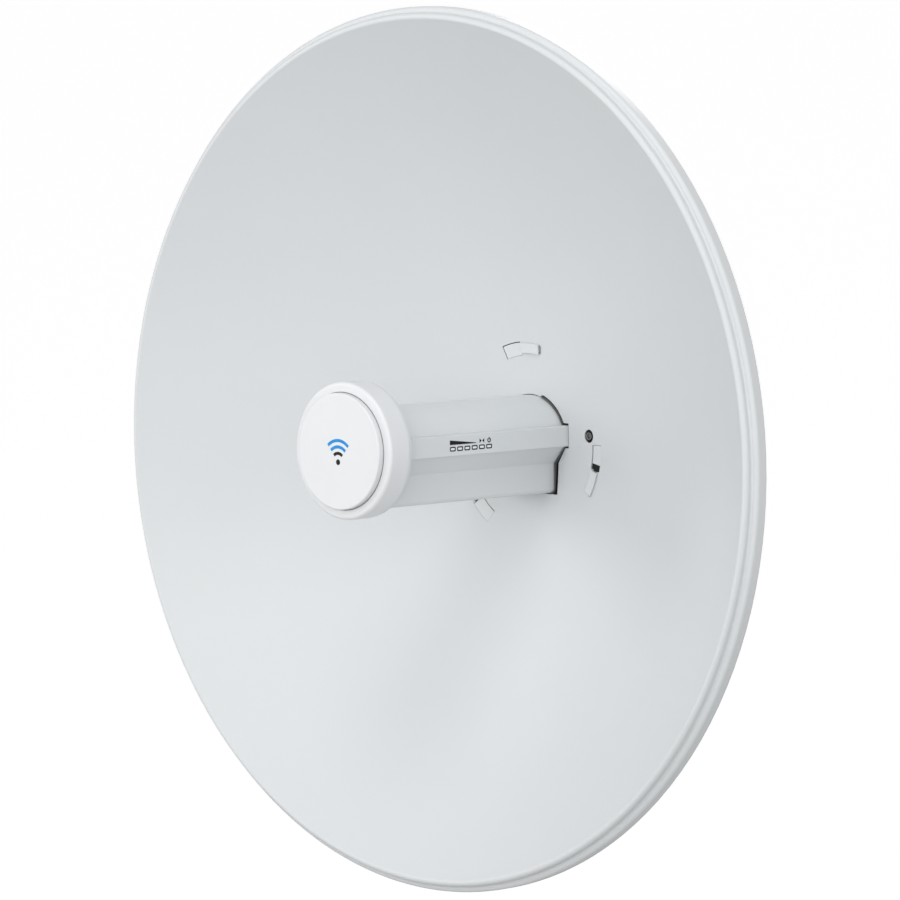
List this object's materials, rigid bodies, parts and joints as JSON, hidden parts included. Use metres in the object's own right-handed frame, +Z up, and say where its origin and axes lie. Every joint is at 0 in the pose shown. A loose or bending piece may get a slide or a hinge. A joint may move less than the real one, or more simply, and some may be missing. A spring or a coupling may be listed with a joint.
{
  "type": "outdoor wireless bridge",
  "caption": "Round dish reflector with a central feed tube and cap, rear housing, tilting yoke bracket and two-jaw pole clamp, for outdoor point-to-point links.",
  "frame": {"origin": "on the pole's axis, at the middle of the clamp's height", "axes": "+Z up along the pole, -Y the way the dish points, +X to the right seen from the front"},
  "size_m": [0.42, 0.262, 0.42],
  "materials": {
    "dish_coat": "satin white powder coat with fine grain",
    "shell_plastic": "fine-textured UV-stable white plastic",
    "cap_plastic": "satin smooth white plastic",
    "zinc_steel": "galvanised steel with soft spangle",
    "cast_aluminium": "fine shot-blasted casting",
    "plated_bolt": "bright zinc-plated fasteners",
    "black_screw": "dark oxide",
    "brass_insert": "turned brass",
    "seal_rubber": "black rubber",
    "board_laminate": "green solder mask",
    "tinned_steel": "tin-plated sheet",
    "plain_aluminium": "milled aluminium",
    "ptfe": "translucent white PTFE",
    "light_guide": "frosted clear plastic",
    "thermal_gap_pad": "soft grey-blue pad",
    "jack_metal": "nickel-plated shield"
  },
  "bodies": {
    "bracket": {"yoke_bracket": "zinc_steel", "fixed_jaw": "cast_aluminium", "jaw_rivets": "plated_bolt", "carriage_bolts": "plated_bolt", "pivot_bolt": "plated_bolt", "pivot_nut": "plated_bolt", "pivot_washers": "plated_bolt"},
    "clamp": {"pole_clamp": "cast_aluminium", "clamp_washers": "plated_bolt", "clamp_nuts": "plated_bolt"},
    "port_door": {"port_cover": "shell_plastic", "cable_grommet": "seal_rubber"},
    "latch": {"release_latch": "shell_plastic"},
    "reset": {"reset_button": "seal_rubber"},
    "head": {"dish_reflector": "dish_coat", "hub_gasket": "seal_rubber", "dish_lock_screw": "black_screw", "dish_lock_insert": "brass_insert", "feed_tube": "shell_plastic", "feed_cap": "cap_plastic", "cap_disc": "cap_plastic", "cap_seal": "seal_rubber", "splash_plate": "plain_aluminium", "waveguide": "plain_aluminium", "dielectric_plug": "ptfe", "led_strip": "shell_plastic", "light_pipes": "light_guide", "radio_board": "board_laminate", "shield_can": "tinned_steel", "thermal_pad": "thermal_gap_pad", "heat_spreader": "plain_aluminium", "board_screws": "plated_bolt", "ethernet_jack": "jack_metal", "reset_switch": "seal_rubber", "feed_end_plug": "shell_plastic", "rear_housing": "shell_plastic", "rear_cover": "shell_plastic", "rear_cover_screws": "plated_bolt", "ground_screw": "plated_bolt", "release_springs": "plated_bolt", "port_hinge_pin": "plated_bolt", "lock_bolts": "plated_bolt", "lock_washers": "plated_bolt", "lock_nuts": "plated_bolt"}
  },
  "joints": [
    {"name": "elevation_tilt", "type": "hinge", "parent": "bracket", "child": "head", "pos_m": [0, -0.05, 0.014], "axis": [1, 0, 0], "range_deg": [-20, 20]},
    {"name": "pole_clamp_slide", "type": "slide", "parent": "bracket", "child": "clamp", "axis": [0, 1, 0], "range_m": [-0.01, 0.003]},
    {"name": "port_cover_hinge", "type": "hinge", "parent": "head", "child": "port_door", "pos_m": [0, -0.092, -0.0381], "axis": [-1, 0, 0], "range_deg": [0, 85]},
    {"name": "release_press", "type": "slide", "parent": "head", "child": "latch", "axis": [0, 0, -1], "range_m": [0, 0.0026], "stiffness_N_per_m": 400, "springref_m": -0.002, "deforming": ["release_springs"]},
    {"name": "reset_press", "type": "slide", "parent": "head", "child": "reset", "axis": [0, 0, 1], "range_m": [0, 0.0008], "stiffness_N_per_m": 500, "springref_m": -0.0006}
  ]
}
